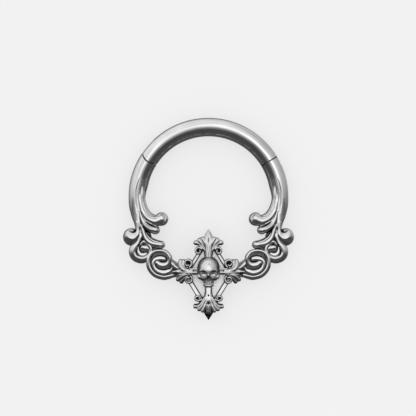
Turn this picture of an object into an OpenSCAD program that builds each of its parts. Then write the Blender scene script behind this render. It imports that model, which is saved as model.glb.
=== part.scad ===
// Ornate clicker ring: a round-wire hoop whose top segment opens on a hinge,
// with a cast front of leaves, scrolls, a lozenge, a floriated cross and a skull.
// The ring lies on its flat back: the hoop's axis is Z, the front faces +Z,
// the hinged segment is on the +Y side. The origin is under the middle of its box.

/* [Hoop] */
// Inner diameter of the hoop
hoop_inner_d = 8; // [7.8:0.1:8.6]
// Thickness of the round wire, 16 gauge
wire_d = 1.2; // [1.16:0.01:1.3]

/* [Hinged segment] */
// Ring angle of the closing seam, from +X
seam_angle = 31.2; // [28:0.2:34]
// Ring angle of the hinge pin, from +X
hinge_angle = 139.1; // [137:0.1:141]
// Open line at the two seams
seam_gap = 0.04; // [0.03:0.005:0.06]
// Radius of the rounded hinge end of the segment
knuckle_r = 0.8; // [0.77:0.01:0.84]
// Diameter of the hinge pin
pin_d = 0.4; // [0.36:0.01:0.44]
// Radial running clearance of the pin in the tongue
pin_play = 0.02; // [0.015:0.005:0.03]
// Thickness of the hinge tongue and of the closing tongue
tongue_t = 0.3; // [0.26:0.01:0.34]
// Reach of the closing tongue into its slot
catch_len = 0.5; // [0.4:0.05:0.6]

/* [Cast front] */
// Height of the leaves and scrolls above the flat back
scroll_rise = 1.3; // [1.2:0.05:1.4]
// Height of the cross above the flat back
cross_rise = 1.4; // [1.3:0.05:1.5]
// Height of the skull's brow above the flat back
skull_rise = 2; // [1.8:0.05:2.2]
// Height of the lozenge's raised border
border_rise = 0.85; // [0.75:0.05:0.95]
// Height of the plates that close the lozenge and the scrolls
plate_rise = 0.6; // [0.5:0.05:0.65]

/* [Hidden] */

wire_r = wire_d / 2;
ring_r = hoop_inner_d / 2 + wire_r;      // radius of the wire's centre line
g = ring_r / 70.95;                      // the front is drawn on a grid of g mm
tip_drop = 122.7;                        // the spear's tip under the hoop's centre, grid units
hoop_y = (tip_drop * g - ring_r - wire_r) / 2;
half_gap = asin(seam_gap / 2 / ring_r);  // the seam's half width as a ring angle
arm_end = 9;                             // the exact wire stops this far above the level line
slide = 0.02;                            // side clearance of each tongue
eye_r = 0.45;                            // rounded end of the hinge tongue
slot_r = 0.5;                            // room for it inside the segment
pin_low = wire_r - sqrt(wire_r * wire_r - pin_d * pin_d / 4);
pin_top = wire_d - 0.25;
section_n = 8;

// ---------- helpers ----------

// Smooth curve through the rows of a table, n steps from row to row.
function curve(a, b, c, d, t) =
    0.5 * (2 * b + (c - a) * t + (2 * a - 5 * b + 4 * c - d) * t * t
           + (3 * b - a - 3 * c + d) * t * t * t);
function smooth(rows, n) = let (k = len(rows)) concat(
    [for (i = [0:k - 2]) for (j = [0:n - 1])
        curve(rows[max(i - 1, 0)], rows[i], rows[i + 1], rows[min(i + 2, k - 1)], j / n)],
    [rows[k - 1]]);
function heading(p, i) =
    let (a = p[max(i - 1, 0)], b = p[min(i + 1, len(p) - 1)],
         d = [b[0] - a[0], b[1] - a[1]]) d / norm(d);
function soft(v, e) = sign(v) * pow(abs(v), e);

// One cross-section: w is the half width, lo and hi the heights of its
// back and front, e how round it is (1 is an ellipse, less is fuller).
function section(w, lo, hi, e) = [for (k = [0:section_n - 1])
    let (f = 360 * (k + 0.5) / section_n)
    [w * soft(cos(f), e), (lo + hi) / 2 + (hi - lo) / 2 * soft(sin(f), e)]];

// A band: a solid swept along its table. Columns: x, y, half width, back, front.
// Both ends are rounded off over one half width, unless blunt.
module band(rows, n = 2, e0 = 0.7, e1 = 0.7, blunt = false) {
    p = smooth(rows, n);
    last = len(p) - 1;
    caps = [[1, 0.1], [0.8, 0.6]];
    function end_ring(q, d, way, c) = [
        q[0] + d[0] * way * q[2] * c[0], q[1] + d[1] * way * q[2] * c[0],
        q[2] * c[1], q[3] + (1 - c[1]) * 0.3 * q[2],
        q[4] - (1 - c[1]) * min(q[2], (q[4] - q[3]) * 0.6)];
    d0 = heading(p, 0);
    d1 = heading(p, last);
    stations = concat(
        blunt ? [] : [for (c = caps) concat(end_ring(p[0], d0, -1, c), d0, [e0])],
        [for (i = [0:last]) concat([for (j = [0:4]) p[i][j]], heading(p, i),
                                   [e0 + (e1 - e0) * i / last])],
        [for (i = [len(caps) - 1:-1:0])
            concat(end_ring(p[last], d1, 1, caps[i]), d1, [e1])]);
    pts = [for (s = stations) for (q = section(s[2], s[3], s[4], s[7]))
        [s[0] - s[6] * q[0], s[1] + s[5] * q[0], q[1]]];
    m = section_n;
    r = len(stations);
    sides = [for (i = [0:r - 2]) for (k = [0:m - 1]) let (k2 = (k + 1) % m)
        each [[i * m + k, (i + 1) * m + k, (i + 1) * m + k2],
              [i * m + k, (i + 1) * m + k2, i * m + k2]]];
    polyhedron(points = pts, faces = concat(
        [[for (k = [0:m - 1]) k]], sides,
        [[for (k = [m - 1:-1:0]) (r - 1) * m + k]]), convexity = 6);
}

// A row for a band that stands on the flat back.
function on_back(rows, rise) = [for (q = rows) [q[0], q[1], q[2], 0, rise]];

// A curled end: a raised ring round a sunk eye.
module volute(x, y, r, rise) {
    translate([x, y, 0]) difference() {
        union() {
            cylinder(r = r, h = rise * 0.8, $fn = 12);
            translate([0, 0, rise * 0.8]) cylinder(r1 = r, r2 = r * 0.65, h = rise * 0.2, $fn = 12);
        }
        translate([0, 0, rise * 0.72]) cylinder(r1 = r * 0.24, r2 = r * 0.42, h = rise * 0.3, $fn = 8);
    }
}

module both_sides() {
    children();
    mirror([1, 0, 0]) children();
}

// ---------- the left half of the front, on the grid ----------
// Each table gives x, y and half width in grid units from the hoop's centre.

// lobe A curls inside the hoop, B and C lie under it
lobe_a = [[-67.5, -2.5, 4.5], [-64.5, -11.5, 5], [-60, -18.5, 5], [-54, -22.2, 5.4], [-47.3, -21.3, 6.6]];
lobe_b = [[-66.5, -14.5, 4.2], [-62.5, -23.5, 4.2], [-57.5, -29.5, 3.8], [-53, -33, 3.6]];
lobe_c = [[-66.5, -26.5, 3.5], [-62.5, -34.5, 3.8], [-57, -41.5, 4], [-51.5, -45.3, 4], [-48, -46.6, 4]];
// lobe D is the ball that hooks up on the outside
lobe_d_stem = [[-71, -26, 2.2], [-70.6, -33, 2.8], [-71.8, -38, 3.8]];
lobe_d_ball = [[-73.5, -39.2, 5.6], [-76.3, -39.4, 7.3], [-78.4, -39.1, 8]];
small_scroll = [[-68, -34.5, 2.5], [-70.5, -42.5, 3], [-75.2, -49, 3.5], [-76.7, -55, 3.7],
    [-74, -60, 3.7], [-68, -62.1, 3.5], [-62, -60, 3], [-58.8, -55, 2.6], [-59, -49.3, 2.3],
    [-62.7, -45.2, 2], [-66.5, -46.2, 1.8]];
small_eye = [[-67, -52.6, 4], [-65.4, -52.6, 4]];
big_scroll = [[-32.5, -77.3, 3], [-38.5, -79.6, 3.2], [-45, -80.1, 3], [-52.5, -77.3, 2.9],
    [-58, -71.5, 2.8], [-59.5, -64.5, 2.5], [-58, -58, 2.3], [-53.5, -53.9, 2.1], [-48, -52.7, 2.1],
    [-42, -54.6, 2.2], [-38.6, -59.5, 2.4], [-39.6, -65, 2.6], [-44, -67.8, 2.8], [-49, -67, 3]];
inner_scroll = [[-34.5, -70, 2.4], [-38.5, -73.3, 2.7], [-44.5, -74.6, 2.7], [-50.5, -72.8, 2.4],
    [-54.3, -68.5, 2.1], [-55, -63.5, 2.1], [-52.5, -60, 2.5], [-47.5, -59.8, 2.9]];
link_bar = [[-38.5, -65, 1.8], [-34, -67.3, 2.2], [-29, -70.6, 2]];

// the wire swells out of the hoop into the stem of the leaves
stem = [[-69.4, 14.75, 9.1, 0.16, 18.34], [-70.56, 7.42, 9.1, 0.16, 18.34], [-70.9, -1, 9.1, 0, 18.6],
    [-69.7, -9.5, 8.5, 0, 19], [-69.4, -17.5, 7.3, 0, 19.5], [-68.6, -24.5, 5.2, 0, 20],
    [-68, -31.5, 4, 0, 20], [-68, -38.5, 3, 0, 19]];

module leaves(top) {
    band(stem, 2, 1, 0.7, blunt = true);
    band(on_back(lobe_a, top));
    band(on_back(lobe_b, top * 0.96));
    band(on_back(lobe_c, top * 0.96));
    band(on_back(lobe_d_stem, top * 0.94));
    band(on_back(lobe_d_ball, top * 0.97));
}

module scrolls(top, floor_top) {
    band(on_back(small_scroll, top * 0.95));
    band(on_back(small_eye, top * 0.9), 1);
    translate([-67.3, -53.4, 0]) cylinder(r = 8, h = floor_top, $fn = 20);
    band(on_back(big_scroll, top));
    band(on_back(inner_scroll, top * 0.93));
    translate([-49.3, -66.4, 0]) scale([0.8, 1, 1]) cylinder(r = 12.6, h = floor_top, $fn = 24);
    band(on_back(link_bar, top * 0.8), 1);
}

// ---------- the middle, on the grid ----------

lozenge_y = -77.4;
module lozenge(half_x, half_y, h) {
    translate([0, lozenge_y, 0]) linear_extrude(h)
        polygon([[-half_x, 0], [0, -half_y], [half_x, 0], [0, half_y]]);
}

module lozenge_plate(floor_top, rim_top) {
    lozenge(20.4, 32.6, floor_top);
    difference() {
        lozenge(24.8, 40, rim_top);
        translate([0, 0, -1]) lozenge(19.6, 31.6, rim_top + 2);
    }
}

arm_y = -75;
upright = [[0, -34.2, 1.2], [0, -38, 4.2], [0, -43, 4.4], [0, -49, 3.2], [0, -58, 3],
    [0, -86, 3], [0, -94, 3.6], [0, -101, 5], [0, -107, 6.2], [0, -111.5, 6]];
top_lobe = [[-3.5, -47, 3], [-8, -42.6, 3.6], [-12.2, -44.2, 2.8]];
foot_lobe = [[-3, -104, 3], [-8.5, -106.4, 3.4], [-12.7, -108.4, 2.5]];
foot_fan = [[-2, -104, 3], [-6, -109.6, 3.2], [-7.6, -111.6, 2.6]];
side_tip = [[-14, -75, 2.4], [-21, -75, 3], [-28, -74.8, 2.8], [-32.4, -74.7, 1.9]];
side_lobe_up = [[-23, -72, 2.2], [-26, -67.8, 2.8], [-26.6, -64.4, 2.8]];
side_lobe_down = [[-22.5, -77.5, 2.4], [-26, -81, 3], [-27.3, -83.6, 2.8]];

module cross(top) {
    band(on_back(upright, top));
    translate([-22, arm_y - 2.4, 0]) cube([44, 4.8, top * 0.95]);
    both_sides() {
        band(on_back(top_lobe, top * 0.95), 1);
        band(on_back(foot_lobe, top * 0.95), 1);
        band(on_back(foot_fan, top * 0.92), 1);
        band(on_back(side_tip, top * 0.95), 1);
        band(on_back(side_lobe_up, top * 0.92), 1);
        band(on_back(side_lobe_down, top * 0.92), 1);
        volute(-9.8, -52.8, 4.7, top * 0.97);
        volute(-9.7, -100.9, 4.5, top * 0.97);
        volute(-21, -66, 5, top * 0.97);
        volute(-21, -81.6, 5, top * 0.97);
    }
    // the spear at the foot
    hull() {
        translate([-4.6, -115, top * 0.25]) cube([9.2, 1.5, top * 0.6]);
        translate([-0.3, -tip_drop, top * 0.5]) cube([0.6, 0.2, 2]);
    }
}

module skull(front) {
    back = 6;
    difference() {
        union() {
            // brain case
            translate([0, -70.3, 17.5]) scale([10.8, 12.8, front - 17.5]) sphere(r = 1, $fn = 22);
            // cheekbones
            hull() {
                both_sides() translate([-8, -80.6, front * 0.62]) scale([2.6, 2.4, 5]) sphere(r = 1, $fn = 10);
                translate([-4, -82, back]) cube([8, 6, front * 0.7]);
            }
            // jaws
            hull() {
                both_sides() translate([-3.6, -87.8, front * 0.66]) scale([1.8, 2, 5]) sphere(r = 1, $fn = 10);
                both_sides() translate([-4, -81, front * 0.7]) scale([2.2, 2.4, 6.5]) sphere(r = 1, $fn = 10);
                translate([-4, -88, back]) cube([8, 8, 8]);
            }
        }
        // eye sockets and nose
        both_sides() translate([-5.2, -76.8, front]) scale([3.8, 3.6, 10]) sphere(r = 1, $fn = 14);
        translate([0, -81.2, front]) scale([1.9, 2.6, 8]) sphere(r = 1, $fn = 10);
        // line of the teeth
        translate([-6, -86.6, front * 0.85]) cube([12, 0.5, 5]);
    }
}

module cast_ornament() {
    scale([g, g, g]) resize([0, 0, 0]) union() {
        both_sides() {
            leaves(scroll_rise / g);
            scrolls(scroll_rise / g, plate_rise / g);
        }
        lozenge_plate(plate_rise / g, border_rise / g);
        cross(cross_rise / g);
        skull(skull_rise / g);
    }
}

// ---------- the hoop, in millimetres ----------

// A stretch of the round wire from one ring angle to another.
module wire(from, to) {
    translate([0, 0, wire_r]) rotate([0, 0, from]) rotate_extrude(angle = to - from)
        translate([ring_r, 0]) circle(r = wire_r, $fn = 48);
}

// Local axes at a ring angle: X runs on along the ring, Y points outward.
module at_ring(angle) {
    rotate([0, 0, angle]) translate([ring_r, 0, wire_r])
        rotate([0, 0, 90]) mirror([0, 1, 0]) children();
}

module slab(x0, x1, y0, y1, t) {
    translate([x0, y0, -t / 2]) cube([x1 - x0, y1 - y0, t]);
}

module hinge_arm() {
    difference() {
        union() {
            difference() {
                wire(hinge_angle - 2, 180 - arm_end);
                at_ring(hinge_angle) cylinder(r = knuckle_r + seam_gap, h = 3, center = true, $fn = 64);
            }
            // hinge tongue
            at_ring(hinge_angle) {
                cylinder(r = eye_r, h = tongue_t, center = true, $fn = 48);
                slab(0, knuckle_r + 0.3, -eye_r + 0.01, eye_r - 0.1, tongue_t);
            }
        }
        at_ring(hinge_angle) cylinder(r = pin_d / 2 + pin_play, h = 3, center = true, $fn = 48);
    }
}

module catch_arm() {
    difference() {
        wire(arm_end, seam_angle - half_gap);
        // slot for the closing tongue, open on the outside of the hoop
        at_ring(seam_angle) slab(-catch_len - 0.06, 0.3, -0.36, 1, tongue_t + 2 * slide);
    }
}

module ornate_front() {
    color([0.62, 0.62, 0.63]) translate([0, hoop_y, 0]) {
        hinge_arm();
        catch_arm();
        cast_ornament();
    }
}

module hinged_segment() {
    color([0.78, 0.78, 0.79]) translate([0, hoop_y, 0]) difference() {
        wire(seam_angle - 9, hinge_angle + 14);
        // closing end: cut square, all but a tongue flush with the outside of the wire
        at_ring(seam_angle) difference() {
            slab(-2, seam_gap / 2, -1.5, 1.5, 3);
            slab(-catch_len, 1, -0.3, 2, tongue_t);
        }
        // hinge end: rounded about the pin
        at_ring(hinge_angle) difference() {
            slab(0, 2, -1.5, 1.5, 3);
            cylinder(r = knuckle_r, h = 4, center = true, $fn = 64);
        }
        // slot that clears the hinge tongue through the whole swing
        at_ring(hinge_angle) {
            cylinder(r = slot_r, h = tongue_t + 2 * slide, center = true, $fn = 48);
            slab(0, 1.6, -slot_r + 0.01, 1.2, tongue_t + 2 * slide);
            slab(-slot_r + 0.01, 1.6, 0, 1.2, tongue_t + 2 * slide);
        }
        // blind bore for the pin, open at the back
        at_ring(hinge_angle) translate([0, 0, -wire_r - 0.1])
            cylinder(r = pin_d / 2 + 0.005, h = pin_top + 0.11, $fn = 48);
    }
}

module hinge_pin() {
    color([0.7, 0.7, 0.7]) translate([0, hoop_y, 0]) at_ring(hinge_angle)
        translate([0, 0, pin_low - wire_r]) cylinder(r = pin_d / 2, h = pin_top - pin_low, $fn = 48);
}

ornate_front();
hinged_segment();
hinge_pin();
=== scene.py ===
"""A clicker ring of round wire with a cast front: leaves, scrolls, a lozenge, a floriated cross and a skull.

The hoop, its seams and its hinge are drawn exactly. The cast front is sculpted in a block of clay, a signed
field on a fine grid, from short tables of bands, and its skin is then taken off as a mesh. Tables are in grid
units from the hoop's centre: one unit is G metres.
"""

import math

import bmesh
import bpy
import numpy as np
from mathutils import Matrix, Vector

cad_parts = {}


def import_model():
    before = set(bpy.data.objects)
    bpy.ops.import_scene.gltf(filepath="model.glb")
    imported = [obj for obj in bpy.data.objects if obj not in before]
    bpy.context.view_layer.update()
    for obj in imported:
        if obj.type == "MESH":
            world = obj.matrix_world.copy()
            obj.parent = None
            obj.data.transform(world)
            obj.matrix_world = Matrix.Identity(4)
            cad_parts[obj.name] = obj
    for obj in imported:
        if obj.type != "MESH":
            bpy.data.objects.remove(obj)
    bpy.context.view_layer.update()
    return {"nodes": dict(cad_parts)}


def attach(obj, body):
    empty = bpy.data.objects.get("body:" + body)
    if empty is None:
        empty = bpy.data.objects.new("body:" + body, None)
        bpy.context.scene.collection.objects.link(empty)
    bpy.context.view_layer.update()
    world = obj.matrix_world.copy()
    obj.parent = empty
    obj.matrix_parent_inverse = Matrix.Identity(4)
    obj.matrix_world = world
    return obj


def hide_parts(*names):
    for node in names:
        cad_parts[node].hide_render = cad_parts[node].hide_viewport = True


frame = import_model()

RING_R, WIRE_R = 4.6e-3, 0.6e-3
G = RING_R / 70.95
HOOP_Y = (122.7 * G - RING_R - WIRE_R) / 2
HINGE_ANGLE, SEAM_ANGLE = math.radians(139.1), math.radians(31.2)
R, W = RING_R / G, WIRE_R / G  # ring and wire radius on the grid
MM = 1e-3 / G  # one millimetre on the grid
MOST_FACES = 192_000  # triangles of a piece
PLAIN_BELOW, WALLS_BELOW = 8.8, 14.5  # heights on the grid under which everything is plain, and the upright walls are


# ---------------------------------------------------------------- clay


def spline(rows, n=6):
    """A smooth line through the rows of a table, n steps from row to row, every column with it."""
    r = np.array(rows, float)
    k, out = len(r), []
    for i in range(k - 1):
        a, b, c, d = r[max(i - 1, 0)], r[i], r[i + 1], r[min(i + 2, k - 1)]
        for j in range(n):
            t = j / n
            out.append(0.5 * (2 * b + (c - a) * t + (2 * a - 5 * b + 4 * c - d) * t * t + (3 * b - a - 3 * c + d) * t**3))
    return np.array(out + [r[-1]])


def along(x, y, p):
    """For each point of a plane: signed distance to the line p (left of its heading is positive), place along it from 0 to 1, and the line's other columns there."""
    best = np.full(np.broadcast(x, y).shape, 1e9)
    side, place = np.ones_like(best), np.zeros_like(best)
    for i in range(len(p) - 1):
        dx, dy = p[i + 1, 0] - p[i, 0], p[i + 1, 1] - p[i, 1]
        t = np.clip(((x - p[i, 0]) * dx + (y - p[i, 1]) * dy) / (dx * dx + dy * dy + 1e-12), 0, 1)
        ex, ey = x - p[i, 0] - t * dx, y - p[i, 1] - t * dy
        d2 = ex * ex + ey * ey
        near = d2 < best
        best = np.where(near, d2, best)
        side = np.where(near, np.where(dx * ey - dy * ex >= 0, 1.0, -1.0), side)
        place = np.where(near, i + t, place)
    columns = [np.interp(place, np.arange(len(p)), p[:, c]) for c in range(2, p.shape[1])]
    return np.sqrt(best) * side, place / (len(p) - 1), columns


def quarter(x, z, a, b):
    """Distance to an ellipse of half axes a and b, near it."""
    k0 = np.sqrt((x / a) ** 2 + (z / b) ** 2)
    k1 = np.sqrt((x / a**2) ** 2 + (z / b**2) ** 2)
    return np.where(k1 > 1e-6, k0 * (k0 - 1) / np.maximum(k1, 1e-6), -np.minimum(a, b))


def smin(a, b, k):
    h = np.maximum(k - np.abs(a - b), 0) / k
    return np.minimum(a, b) - h * h * k * 0.25


def rounded(a, b, r):
    """The overlap of two shapes, with a round edge of radius r where they meet."""
    return np.hypot(np.maximum(a + r, 0), np.maximum(b + r, 0)) + np.minimum(np.maximum(a, b) + r, 0) - r


def polygon(x, y, corners):
    """Distance to the sides of a convex outline, negative inside. Its corners go clockwise."""
    g = np.full(np.broadcast(x, y).shape, -1e9)
    for (ax, ay), (bx, by) in zip(corners, corners[1:] + corners[:1]):
        length = math.hypot(bx - ax, by - ay)
        g = np.maximum(g, ((y - ay) * (bx - ax) - (x - ax) * (by - ay)) / length)
    return g


class Clay:
    """A block of clay on a grid. Its field is negative inside the shape and about the distance to its skin near it."""

    def __init__(self, lo, hi, h):
        self.lo, self.h = np.array(lo, float), h
        n = [int(math.ceil((b - a) / h)) + 1 for a, b in zip(lo, hi)]
        self.axes = [self.lo[i] + h * np.arange(n[i]) for i in range(3)]
        self.f = np.full(n, 8.0, np.float32)

    def twin(self):
        """A second block of the same clay."""
        c = Clay(self.lo, self.lo, self.h)
        c.axes, c.f = self.axes, self.f.copy()
        return c

    def window(self, lo, hi):
        s = []
        for i in range(3):
            a = int(np.searchsorted(self.axes[i], lo[i]))
            b = int(np.searchsorted(self.axes[i], hi[i], side="right"))
            s.append(slice(a, max(b, a)))
        s = tuple(s)
        x, y, z = (self.axes[i][s[i]] for i in range(3))
        return s, x[:, None, None], y[None, :, None], z[None, None, :]

    def add(self, s, g, k):
        if self.f[s].size:
            self.f[s] = smin(self.f[s], g, k)

    def cut(self, s, g, k):
        if self.f[s].size:
            self.f[s] = -smin(-self.f[s], g, k)

    def round_path(self, p, pad):
        w = p[:, 2].max() + pad
        lo = (p[:, 0].min() - w, p[:, 1].min() - w, -9)
        return self.window(lo, (p[:, 0].max() + w, p[:, 1].max() + w, 99))

    def band(self, rows, k=0.4, full=1.0, under=1.2, base=0.0, n=12, flat=None):
        """A band swept along its table. Columns: x, y, half width, top, ridge (where its highest line lies, -1 right
        edge to 1 left edge). full is how high its rounded shoulders are against their width, under how much its
        back edges are rounded. A sixth column, if there is one, replaces under. flat levels it off at that height."""
        p = spline(rows, n)
        s, x, y, z = self.round_path(p, 4)
        d, _, c = along(x[:, :, 0], y[:, :, 0], p)
        w, top, ridge = c[0], c[1], c[2]
        u = c[3] if len(c) > 3 else np.full_like(w, under)
        off = d - ridge * w
        a = np.where(off > 0, w * (1 - ridge), w * (1 + ridge))
        a = np.maximum(a, 0.05)
        b = np.minimum(a * full, (top - base) * 0.7)
        off, a, b, top, u, w = (v[:, :, None] for v in (off, a, b, top, u, w))
        d = d[:, :, None]
        over = quarter(off, np.maximum(z - (top - b), 0), a, b)
        below = quarter(d, np.maximum(base + u - z, 0), w, u)
        g = np.where(z > base + u, over, np.maximum(below, over))
        if flat:
            g = -smin(-g, flat - z, 0.6)
        self.add(s, g, k)

    def ball(self, c, r, k=0.4, cut=False):
        c, r = np.array(c, float), np.array(r, float)
        s, x, y, z = self.window(c - r - 4, c + r + 4)
        k0 = np.sqrt(((x - c[0]) / r[0]) ** 2 + ((y - c[1]) / r[1]) ** 2 + ((z - c[2]) / r[2]) ** 2)
        k1 = np.sqrt(((x - c[0]) / r[0] ** 2) ** 2 + ((y - c[1]) / r[1] ** 2) ** 2 + ((z - c[2]) / r[2] ** 2) ** 2)
        g = np.where(k1 > 1e-6, k0 * (k0 - 1) / np.maximum(k1, 1e-6), -r.min())
        (self.cut if cut else self.add)(s, g, k)

    def rod(self, a, b, ra, rb, k=0.4, cut=False, squash=1.0):
        """A round rod from a to b whose radius goes from ra to rb."""
        a, b = np.array(a, float), np.array(b, float)
        m = max(ra, rb) + 4
        s, x, y, z = self.window(np.minimum(a, b) - m, np.maximum(a, b) + m)
        d = b - a
        t = np.clip(((x - a[0]) * d[0] + (y - a[1]) * d[1] + (z - a[2]) * d[2]) / (d @ d), 0, 1)
        g = np.sqrt((x - a[0] - t * d[0]) ** 2 + (y - a[1] - t * d[1]) ** 2 + ((z - a[2] - t * d[2]) * squash) ** 2)
        (self.cut if cut else self.add)(s, g - (ra + (rb - ra) * t), k)

    def block(self, c, half, r, k=0.4):
        """A box with rounded edges."""
        c, half = np.array(c, float), np.array(half, float)
        s, x, y, z = self.window(c - half - 4, c + half + 4)
        qx, qy, qz = (np.abs(v - c[i]) - half[i] + r for i, v in enumerate((x, y, z)))
        out = np.sqrt(np.maximum(qx, 0) ** 2 + np.maximum(qy, 0) ** 2 + np.maximum(qz, 0) ** 2)
        self.add(s, out + np.minimum(np.maximum(np.maximum(qx, qy), qz), 0) - r, k)

    def line(self, rows, depth, width, above=10.0, n=6):
        """Draws a line in the front with a round tool. depth is how far it sinks (or stands out, if negative), and a
        third column of the table makes it finer at places."""
        r = [list(q) + [1.0] for q in rows] if len(rows[0]) == 2 else rows
        p = spline(r, n)
        s, x, y, z = self.round_path(np.c_[p[:, :2], np.full(len(p), width * 2.5)], 0)
        if not self.f[s].size:
            return
        d, _, c = along(x[:, :, 0], y[:, :, 0], p)
        f = np.maximum(c[0], 0.05)
        cutter = depth * f * np.exp(-((d / (width * (0.5 + 0.5 * f))) ** 2))
        high = np.clip((z - above) / 2.0, 0, 1)
        self.f[s] += (cutter[:, :, None] * high).astype(np.float32)

    def dent(self, c, r, depth, above=10.0):
        """Pushes in (or out) a soft round dent."""
        s, x, y, z = self.window((c[0] - 3 * r[0], c[1] - 3 * r[1], -9), (c[0] + 3 * r[0], c[1] + 3 * r[1], 99))
        g = depth * np.exp(-(((x - c[0]) / r[0]) ** 2) - ((y - c[1]) / r[1]) ** 2)
        self.f[s] += (g * np.clip((z - above) / 2.0, 0, 1)).astype(np.float32)

    def all_of(self):
        return self.window(self.lo - 1, self.lo + 999)

    # ---- from clay to mesh

    def sample(self, p):
        """The field at points p (in grid cells), between the grid's nodes."""
        n = np.array(self.f.shape) - 1
        q = np.clip(p, 0, n - 1e-4)
        i = q.astype(np.int64)
        t = (q - i).astype(np.float32)
        x, y, z = i.T
        u, v, w = t.T
        f = self.f
        c00 = f[x, y, z] * (1 - u) + f[x + 1, y, z] * u
        c10 = f[x, y + 1, z] * (1 - u) + f[x + 1, y + 1, z] * u
        c01 = f[x, y, z + 1] * (1 - u) + f[x + 1, y, z + 1] * u
        c11 = f[x, y + 1, z + 1] * (1 - u) + f[x + 1, y + 1, z + 1] * u
        return (c00 * (1 - v) + c10 * v) * (1 - w) + (c01 * (1 - v) + c11 * v) * w

    def slope(self, p, e):
        g = np.empty((len(p), 3), np.float32)
        for a in range(3):
            step = np.zeros(3)
            step[a] = e
            g[:, a] = (self.sample(p + step) - self.sample(p - step)) / (2 * e)
        return g

    def onto(self, p, times):
        """Points near the skin moved onto it."""
        for _ in range(times):
            g = self.slope(p, 0.5)
            length = np.maximum((g * g).sum(1), 1e-4)
            move = (self.sample(p) / length)[:, None] * g
            p = p - np.clip(move, -0.4, 0.4)
        return p

    def normals(self, p):
        g = self.slope(p, 0.6)
        return g / np.maximum(np.linalg.norm(g, axis=1), 1e-9)[:, None]

    def thin(self, p, quads, normal):
        """The skin in triangles, at most MOST_FACES of them: larger ones on the plain back and the lower walls, where nothing bends."""
        z = p[:, 2] * self.h + self.lo[2]
        plain = (z < PLAIN_BELOW) | ((z < WALLS_BELOW) & (np.abs(normal[:, 2]) < 0.1))
        for i in range(4):
            a, b = quads[:, i], quads[:, (i + 1) % 4]
            bent = (normal[a] * normal[b]).sum(1) < 0.985
            plain[a[bent]] = plain[b[bent]] = False
        a, b, c, d = quads.T
        short = (np.linalg.norm(p[a] - p[c], axis=1) <= np.linalg.norm(p[b] - p[d], axis=1))[:, None]
        one = np.where(short, np.stack([a, b, c], 1), np.stack([a, b, d], 1))
        two = np.where(short, np.stack([a, c, d], 1), np.stack([b, c, d], 1))
        o = make_mesh("thin", p, np.vstack([one, two]))
        o.vertex_groups.new(name="plain").add(np.flatnonzero(plain).tolist(), 1.0, "REPLACE")
        m = o.modifiers.new("thin", "DECIMATE")
        m.ratio, m.vertex_group = MOST_FACES / (2 * len(quads)), "plain"
        me = bpy.data.meshes.new_from_object(o.evaluated_get(bpy.context.evaluated_depsgraph_get()))
        me.calc_loop_triangles()
        p = np.empty(3 * len(me.vertices), np.float32)
        me.vertices.foreach_get("co", p)
        faces = np.empty(3 * len(me.loop_triangles), np.int32)
        me.loop_triangles.foreach_get("vertices", faces)
        old = o.data
        bpy.data.objects.remove(o)
        bpy.data.meshes.remove(old)
        bpy.data.meshes.remove(me)
        return p.reshape(-1, 3).astype(float), faces.reshape(-1, 3)

    def skin(self):
        """Takes the skin off: points and faces by surface nets, moved onto the skin, with normals and how hollow each place is."""
        f = self.f
        inside = f < 0
        nx, ny, nz = f.shape
        count = np.zeros((nx - 1, ny - 1, nz - 1), np.uint8)
        corners = [(a, b, c) for a in (0, 1) for b in (0, 1) for c in (0, 1)]
        for a, b, c in corners:
            count += inside[a : nx - 1 + a, b : ny - 1 + b, c : nz - 1 + c]
        cells = np.argwhere((count > 0) & (count < 8))
        index = np.full(count.shape, -1, np.int32)
        index[tuple(cells.T)] = np.arange(len(cells))
        at, hits = np.zeros((len(cells), 3)), np.zeros(len(cells))
        values = {c: f[cells[:, 0] + c[0], cells[:, 1] + c[1], cells[:, 2] + c[2]] for c in corners}
        for a in corners:
            for axis in range(3):
                if a[axis] == 0:
                    b = tuple(1 if i == axis else a[i] for i in range(3))
                    va, vb = values[a], values[b]
                    m = (va < 0) != (vb < 0)
                    t = va[m] / (va[m] - vb[m])
                    add = np.tile(np.array(a, float), (m.sum(), 1))
                    add[:, axis] += t
                    at[m] += add
                    hits[m] += 1
        p = cells + at / hits[:, None]
        quads = []
        for axis in range(3):
            u, v = [(1, 2), (2, 0), (0, 1)][axis]
            s0, s1 = [slice(None)] * 3, [slice(None)] * 3
            s0[axis], s1[axis] = slice(0, -1), slice(1, None)
            change = inside[tuple(s0)] != inside[tuple(s1)]
            e = np.argwhere(change)
            e = e[(e[:, u] > 0) & (e[:, v] > 0) & (e[:, u] < f.shape[u] - 1) & (e[:, v] < f.shape[v] - 1)]
            du, dv = np.zeros(3, int), np.zeros(3, int)
            du[u], dv[v] = 1, 1
            ring = [e - du - dv, e - dv, e, e - du]
            q = np.stack([index[tuple(c.T)] for c in ring], 1)
            out = inside[tuple(s0)][tuple(e.T)]
            q[~out] = q[~out][:, ::-1]
            quads.append(q)
        quads = np.vstack(quads)
        p = self.onto(p, 3)
        normal = self.normals(p)
        if 2 * len(quads) > MOST_FACES:
            p, quads = self.thin(p, quads, normal)
            p = self.onto(p, 2)
            normal = self.normals(p)
        hollow = np.zeros(len(p))
        for reach, weight in ((1.2, 0.35), (2.4, 0.35), (4.5, 0.3)):
            t = reach / self.h
            seen = np.clip(self.sample(p + normal * t) / reach, 0, 1)
            hollow += weight * (1 - seen)
        # how sharply the skin bends: high on ridges and edges
        t = 0.9 / self.h
        edge = np.clip((self.sample(p - normal * t) + 0.9) / 0.9, 0, 1)
        return p * self.h + self.lo, normal, quads, np.clip(hollow, 0, 1), edge


def to_metres(p):
    out = np.array(p, float) * G
    out[:, 1] += HOOP_Y
    return out


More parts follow.
